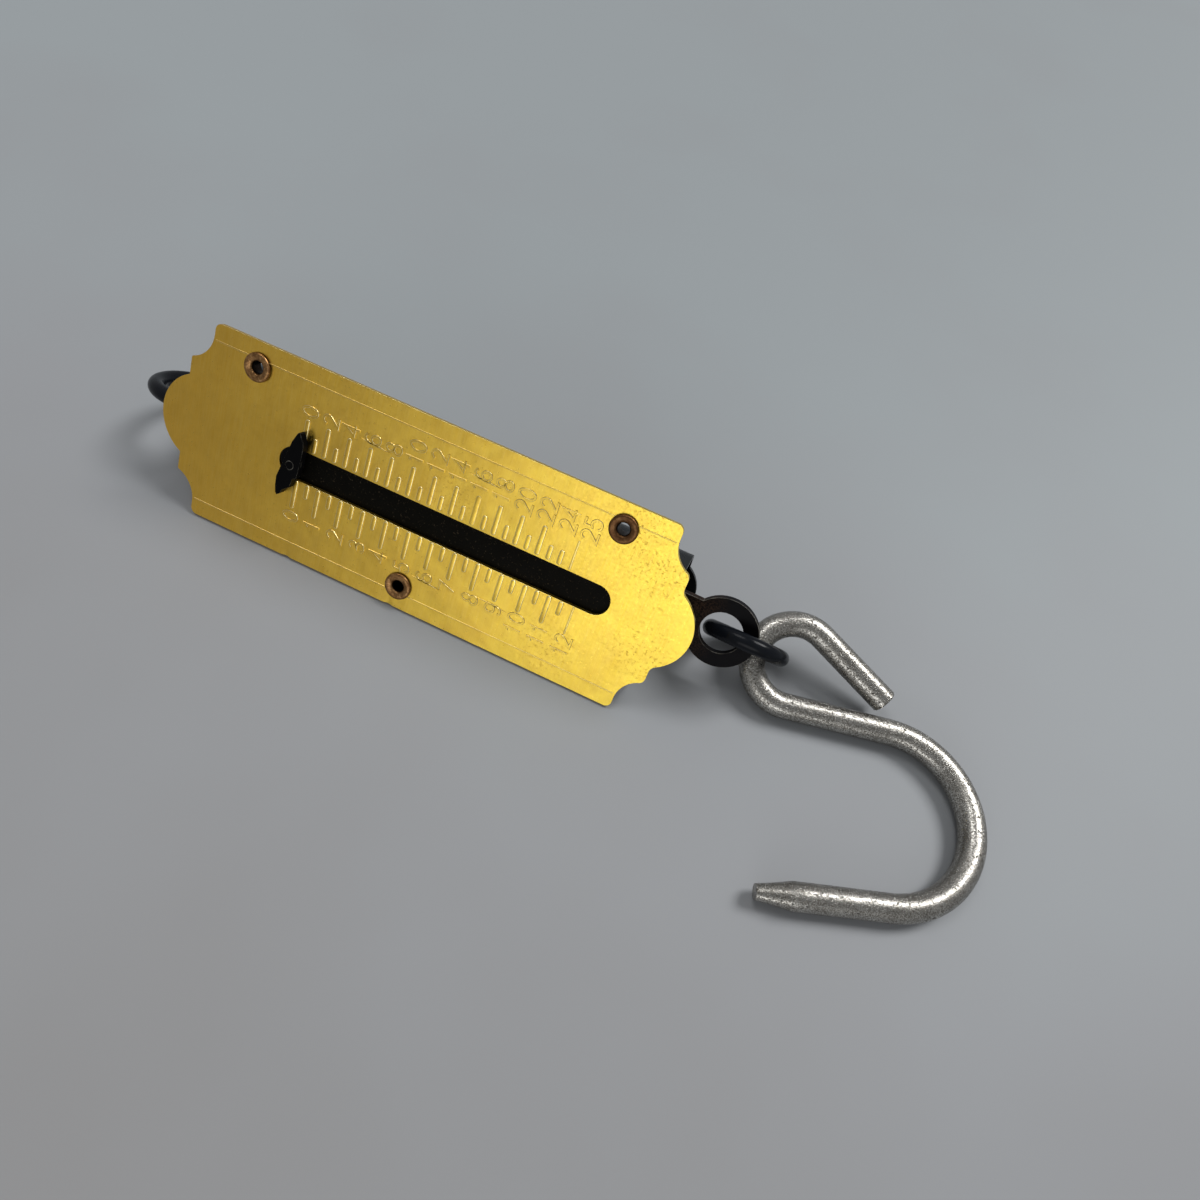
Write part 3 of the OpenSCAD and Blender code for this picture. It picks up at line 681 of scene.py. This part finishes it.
def pointer():
    """A filed crossbar set a little askew on a round boss, with a stem down through the slot"""
    bar = fresh(bpy.ops.mesh.primitive_circle_add, vertices=len(POINTER_BAR), radius=6, fill_type="NGON",
                location=(ZERO_X, 0, POINTER_UNDER))
    bpy.ops.object.mode_set(mode="OBJECT")
    for point, (x, y) in zip(bar.data.vertices, POINTER_BAR):
        point.co = (ZERO_X + x, y, POINTER_UNDER)
    bpy.ops.object.mode_set(mode="EDIT")
    bpy.ops.mesh.select_all(action="SELECT")
    bpy.ops.mesh.extrude_region_move(TRANSFORM_OT_translate={"value": (0, 0, POINTER_TOP - POINTER_UNDER)})
    bpy.ops.mesh.select_all(action="SELECT")
    bpy.ops.mesh.normals_make_consistent(inside=False)
    bpy.ops.object.mode_set(mode="OBJECT")
    boss = fresh(bpy.ops.mesh.primitive_cylinder_add, vertices=40, radius=BOSS_RADIUS, depth=BOSS_HIGH,
                 location=BOSS_AT + (POINTER_UNDER + BOSS_HIGH / 2,))
    pick(boss, lambda at: at.z > POINTER_UNDER + BOSS_HIGH / 2)
    bpy.ops.mesh.bevel(offset=BOSS_ROUNDING, segments=4, affect="EDGES")
    bpy.ops.object.mode_set(mode="OBJECT")
    stem = fresh(bpy.ops.mesh.primitive_cube_add, size=1,
                 scale=(STEM_LONG, STEM_WIDE, STEM_TOP - POINTER_FOOT),
                 location=RIVET_AT + ((STEM_TOP + POINTER_FOOT) / 2,))
    bpy.ops.object.mode_set(mode="OBJECT")
    hole = fresh(bpy.ops.mesh.primitive_cylinder_add, vertices=40, radius=RIVET_HOLE, depth=8,
                 location=RIVET_AT + (FACE,))
    bpy.ops.object.mode_set(mode="OBJECT")
    piece = combined(combined(combined(bar, boss, "UNION"), stem, "UNION"), hole, "DIFFERENCE")
    bpy.ops.object.mode_set(mode="EDIT")
    bpy.ops.mesh.select_all(action="SELECT")
    bpy.ops.mesh.remove_doubles(threshold=MERGED)
    edges_broken(piece, POINTER_CHAMFER)
    return put_in(piece, "winged_pointer", "draw", POINTER_BLACK, node="pointer")


# ---- Wire pieces

RING_WIRE = 3
RING_STEPS = 120
RING_STEP = 360 / RING_STEPS
# The groove where the ends meet: its share of the wire's thickness, and half its width in degrees
GROOVE_THICK = 0.93
GROOVE_HALF = RING_STEP - 2.2
RING_RADIUS = 7
RING_DROP = 1.2
LINK_RADIUS = 6.7
LINK_LEAN = math.radians(24)
LINK_DROP = 3.05
LINK_AT = Vector((106.5, LINK_DROP * math.sin(ROLL - LINK_LEAN), -LINK_DROP * math.cos(ROLL - LINK_LEAN)))
ON_EDGE = Matrix.Rotation(math.pi / 2, 4, "X")


def wire_ring(mean_radius, joint_angle):
    """A ring of wire whose two ends butt together in a fine groove"""
    def slice_at(way):
        return lambda at: (Vector((at.x, at.y, 0)).normalized() - way.normalized()).length < 0.01

    piece = fresh(bpy.ops.mesh.primitive_torus_add, major_radius=mean_radius, minor_radius=RING_WIRE / 2,
                  major_segments=RING_STEPS, minor_segments=28)
    at_joint = math.radians(round(joint_angle / RING_STEP) * RING_STEP)
    middle = Vector((math.cos(at_joint), math.sin(at_joint), 0)) * mean_radius
    pick(piece, slice_at(middle))
    bpy.ops.transform.resize(value=(GROOVE_THICK,) * 3, center_override=middle)
    for side in (-1, 1):
        pick(piece, slice_at(Matrix.Rotation(math.radians(RING_STEP * side), 3, "Z") @ middle))
        bpy.ops.transform.rotate(value=math.radians((RING_STEP - GROOVE_HALF) * side), orient_axis="Z",
                                 center_override=(0, 0, 0))
    return made(piece, 60)


def suspension_ring():
    ring = wire_ring(RING_RADIUS, 60)
    stand = LAID_DOWN @ Matrix.Translation((-RING_RADIUS, 0, -RING_DROP)) @ ON_EDGE
    return put_in(ring, "wire_suspension_ring", "ring", WIRE_BLACK, stand, "suspension_ring")


def link():
    ring = wire_ring(LINK_RADIUS, 200)
    stand = Matrix.Translation(LINK_AT) @ Matrix.Rotation(ROLL - LINK_LEAN, 4, "X") @ ON_EDGE
    return put_in(ring, "wire_link", "link", WIRE_BLACK, stand, "link")


# The S-hook: small loop, shank and big bend, with the angles that each bend turns through
HOOK_WIRE = 4.7
LOOP_RADIUS = 7.45
LOOP_TURN = 213
LOOP_TWIST = math.radians(23.955)
LOOP_END = 15.88
SHANK = 19
BEND_RADIUS = 15.2
BEND_TURN = 173
TIP = 22.5
TAPER = 6
TIP_THICK = 2.6
TIP_BLUNT = 0.82
CUT_EDGE = 0.25
CUT_THICK = 0.92
HOOK_AT = Vector((LINK_AT.x + 10.916, LINK_AT.y - 5.796, FLOOR + HOOK_WIRE / 2))
HOOK_STAND = Matrix.Translation(HOOK_AT) @ Matrix.Rotation(math.radians(12), 4, "Z")


def run_on(step, times, scale=1.0, centre=None):
    """Draws the selected end of the wire out along a straight, thinner at each step where it tapers"""
    for _ in range(times):
        bpy.ops.mesh.extrude_region_move(TRANSFORM_OT_translate={"value": step})
        if centre is not None:
            centre = centre + Vector(step)
            bpy.ops.transform.resize(value=(scale,) * 3, center_override=centre)
    return centre


def s_hook():
    """One length of wire: shank, big bend and tapered point, then back to the twisted small loop"""
    hook = fresh(bpy.ops.mesh.primitive_circle_add, vertices=32, radius=HOOK_WIRE / 2,
                 rotation=(0, math.pi / 2, 0), fill_type="NOTHING")
    run_on((SHANK / 8, 0, 0), 8)
    bpy.ops.mesh.spin(steps=56, angle=math.radians(BEND_TURN), center=(SHANK, -BEND_RADIUS, 0),
                      axis=(0, 0, 1))
    heading = math.radians(-BEND_TURN)
    way = Vector((math.cos(heading), math.sin(heading), 0))
    end = Vector((SHANK, -BEND_RADIUS, 0)) + BEND_RADIUS * Vector((-way.y, way.x, 0))
    end = run_on(way * (TIP - TAPER) / 6, 6, 1.0, end)
    shrink = (TIP_THICK / HOOK_WIRE) ** (1 / 6)
    end = run_on(way * TAPER / 6, 6, shrink, end)
    run_on(way * 0.0, 1, TIP_BLUNT, end)
    bpy.ops.mesh.edge_face_add()

    # Back to the first section, where the wire turns the other way in a twisted plane
    pick(hook, lambda at: abs(at.x) < 0.001 and at.to_2d().length < HOOK_WIRE)
    twist = Matrix.Rotation(LOOP_TWIST, 3, "X")
    middle = twist @ Vector((0, LOOP_RADIUS, 0))
    bpy.ops.mesh.spin(steps=64, angle=math.radians(LOOP_TURN), center=middle,
                      axis=twist @ Vector((0, 0, 1)))
    last = math.radians(270 - LOOP_TURN)
    way = twist @ Vector((math.sin(last), -math.cos(last), 0))
    end = middle + twist @ (LOOP_RADIUS * Vector((math.cos(last), math.sin(last), 0)))
    end = run_on(way * (LOOP_END - CUT_EDGE) / 8, 8, 1.0, end)
    run_on(way * CUT_EDGE, 1, CUT_THICK, end)
    bpy.ops.mesh.edge_face_add()
    sewn()
    made(hook, 35)
    return put_in(hook, "wire_s_hook", "hook", HOOK_STEEL, HOOK_STAND, "s_hook")


# ---- Main spring

SPRING_WIRE = 1.4
SPRING_RADIUS = 6
SPRING_TURNS = 10
SPRING_GAP = 0.46
SPRING_PITCH = SPRING_WIRE + SPRING_GAP
SPRING_BEND = 1.4


def main_spring():
    """Wound between the plugs, with both ends of the wire bent over to run on along the pull line"""
    low, high = (corner.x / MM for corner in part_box("main_spring"))
    rise = SPRING_TURNS * SPRING_PITCH
    coil = fresh(bpy.ops.mesh.primitive_circle_add, vertices=14, radius=SPRING_WIRE / 2,
                 location=(SPRING_RADIUS, 0, 0), rotation=(math.pi / 2, 0, 0), fill_type="NOTHING")
    bpy.ops.object.mode_set(mode="OBJECT")
    winding = coil.modifiers.new("winding", "SCREW")
    winding.axis = "Z"
    winding.angle = math.tau
    winding.iterations = SPRING_TURNS
    winding.screw_offset = SPRING_PITCH
    winding.steps = winding.render_steps = 40
    winding.use_merge_vertices = False
    bpy.ops.object.modifier_apply(modifier=winding.name)
    for height, side in ((0, -1), (rise, 1)):
        # The last section of the winding at this end
        pick(coil, lambda at: abs(at.y) < 0.12 and at.x > 0 and abs(at.z - height) < SPRING_WIRE * 0.52)
        bpy.ops.mesh.spin(steps=6, angle=math.pi / 2, axis=(-1, 0, 0),
                          center=(SPRING_RADIUS, 0, height + side * SPRING_BEND))
        straight = (high - low - rise) / 2 - SPRING_BEND
        bpy.ops.mesh.extrude_region_move(TRANSFORM_OT_translate={"value": (0, 0, side * straight)})
        bpy.ops.mesh.edge_face_add()
    sewn()
    made(coil, 60)
    turned_on = Matrix(((0, 0, 1, (low + high - rise) / 2), (1, 0, 0, 0), (0, 1, 0, 0), (0, 0, 0, 1)))
    stand = LAID_DOWN @ Matrix.Rotation(SPRING_BEND / SPRING_RADIUS, 4, "X") @ turned_on
    between = ("case", "draw", Vector((low + SPRING_WIRE, 0, 0)) * MM,
               Vector((high - SPRING_WIRE, 0, 0)) * MM)
    return put_in(coil, "wound_main_spring", between, SPRING_STEEL, stand, "main_spring")


# ---- The rest of the metalwork keeps its pressed shape and gets its edges broken

# Node, name, body, slot, finish and width of the broken edge
METALWORK = [
    ("back_case", "pressed_case", "case", "black_case", CASE_BLACK, 0.14),
    ("end_plate", "staked_end_plate", "case", "black_case", CASE_BLACK, 0.1),
    ("hanger", "hanger_strip", "case", "black_steel", EYE_BLACK, 0.14),
    ("top_plug", "upper_spring_plug", "case", "plain_steel", PLAIN_STEEL, 0.12),
    ("top_pin", "upper_cross_pin", "case", "plain_steel", PLAIN_STEEL, 0.1),
    ("bottom_plug", "lower_spring_plug", "draw", "plain_steel", PLAIN_STEEL, 0.12),
    ("bottom_pin", "lower_cross_pin", "draw", "plain_steel", PLAIN_STEEL, 0.1),
    ("pull_bar", "pull_bar_and_eye", "draw", "black_steel", EYE_BLACK, 0.2),
    ("riser", "strip_riser", "draw", "black_steel", PART_BLACK, 0.1),
    ("riser_rivets", "riser_rivet_pair", "draw", "plain_steel", PLAIN_STEEL, 0.08),
    ("strip_rivets", "strip_rivet_pair", "draw", "plain_steel", PLAIN_STEEL, 0.08),
    ("index_strip", "black_index_strip", "draw", "black_steel", PART_BLACK, 0.1),
    ("pointer_rivet", "pointer_stem_rivet", "draw", "pointer_black", POINTER_BLACK, 0.08),
]

face_plate()
scale_numerals()
border_lines()
scale_ticks()
eyelets()
pointer()
suspension_ring()
link()
s_hook()
main_spring()
for node, name, body, slot, material, edge in METALWORK:
    put_in(edges_broken(cleaned(node), edge), name, body, material, node=node)


# ---- Floor, light and camera

def floor():
    """A plain grey table top, a little bluer and lighter towards the back: painted shading, darker towards
    the front
    """
    stone = Finish("grey_table", 0.0, Roughness=0.55, Specular_IOR_Level=0.3)
    # Darker and greyer towards the front, lighter and bluer towards the back: painted shading of the table
    back = stone.put("SeparateXYZ", {"Vector": stone.place}).outputs["Y"]
    back = stone.put("MapRange", {"Value": back, "From Min": -130.0, "From Max": 90.0}).outputs[0]
    uneven = stone.sum("MULTIPLY", stone.sum("SUBTRACT", stone.grain(70, 3), 0.5), 0.8)
    stone.wear("Base Color", stone.ramp(stone.sum("ADD", back, uneven),
                                        [(0.0, paint(141, 141, 142)), (0.5, paint(147, 149, 152)),
                                         (1.0, paint(150, 156, 159))]))
    bpy.ops.object.select_all(action="DESELECT")
    bpy.ops.mesh.primitive_plane_add(size=6, location=(0.07, 0, FLOOR * MM))
    table = bpy.context.object
    table.name = "table_top"
    table.data.materials.append(stone.material)


def lamp(name, place, aim, size, watts):
    """A soft panel of light"""
    light = bpy.data.lights.new(name, "AREA")
    light.shape = "RECTANGLE"
    light.size, light.size_y = size
    light.energy = watts
    return hung(light, place, aim)


def far_light(name, way, angle, strength):
    """A wide soft light from far away in this direction"""
    light = bpy.data.lights.new(name, "SUN")
    light.angle = math.radians(angle)
    light.energy = strength
    return hung(light, way, (0, 0, 0))


def hung(light, place, aim):
    """Hangs a light at its place and points it at its aim"""
    holder = bpy.data.objects.new(light.name, light)
    bpy.context.scene.collection.objects.link(holder)
    holder.location = place
    holder.rotation_euler = (Vector(aim) - Vector(place)).to_track_quat("-Z", "Y").to_euler()
    return holder


# The photograph's viewpoint, worked out from the plate's marks and outline
CAMERA_AT = Vector((96.32, -76.64, 125.47))
CAMERA_WAY = Vector((-0.1108, 0.4963, -0.8611))
CAMERA_UP = Vector((-0.411, 0.766, 0.4944))
CAMERA_LENS = 24.906


def camera():
    lens = bpy.data.cameras.new("camera")
    lens.sensor_width = 36
    lens.lens = CAMERA_LENS
    lens.clip_start = 0.005
    eye = bpy.data.objects.new("camera", lens)
    bpy.context.scene.collection.objects.link(eye)
    back = -CAMERA_WAY.normalized()
    up = (CAMERA_UP - back * CAMERA_UP.dot(back)).normalized()
    turn = Matrix((up.cross(back), up, back)).transposed().to_4x4()
    eye.matrix_world = Matrix.Translation(CAMERA_AT * MM) @ turn
    bpy.context.scene.camera = eye


def daylight(walls, ceiling):
    """The light of the room itself, from the colour of its walls up to that of its ceiling"""
    room = bpy.data.worlds.new("room")
    bpy.context.scene.world = room
    room.use_nodes = True
    nodes, links = room.node_tree.nodes, room.node_tree.links
    parts = nodes.new("ShaderNodeSeparateXYZ")
    shades = nodes.new("ShaderNodeValToRGB")
    shades.color_ramp.elements[0].color = walls
    shades.color_ramp.elements[1].color = ceiling
    links.new(nodes.new("ShaderNodeTexCoord").outputs["Generated"], parts.inputs["Vector"])
    links.new(parts.outputs["Z"], shades.inputs["Fac"])
    links.new(shades.outputs["Color"], nodes["Background"].inputs["Color"])


floor()
camera()
MIDDLE = (0.07, -0.005, 0)
far_light("skylight", (-0.34, 0.22, 0.91), 24, 0.55)
far_light("side_window", (0.42, 0.5, 0.75), 24, 2.1)
lamp("window_in_front", (0.21, -0.95, 0.28), MIDDLE, (0.8, 0.5), 1.95)
daylight((0.335, 0.34, 0.345, 1), (0.26, 0.265, 0.27, 1))
bpy.context.scene.view_settings.view_transform = "Standard"
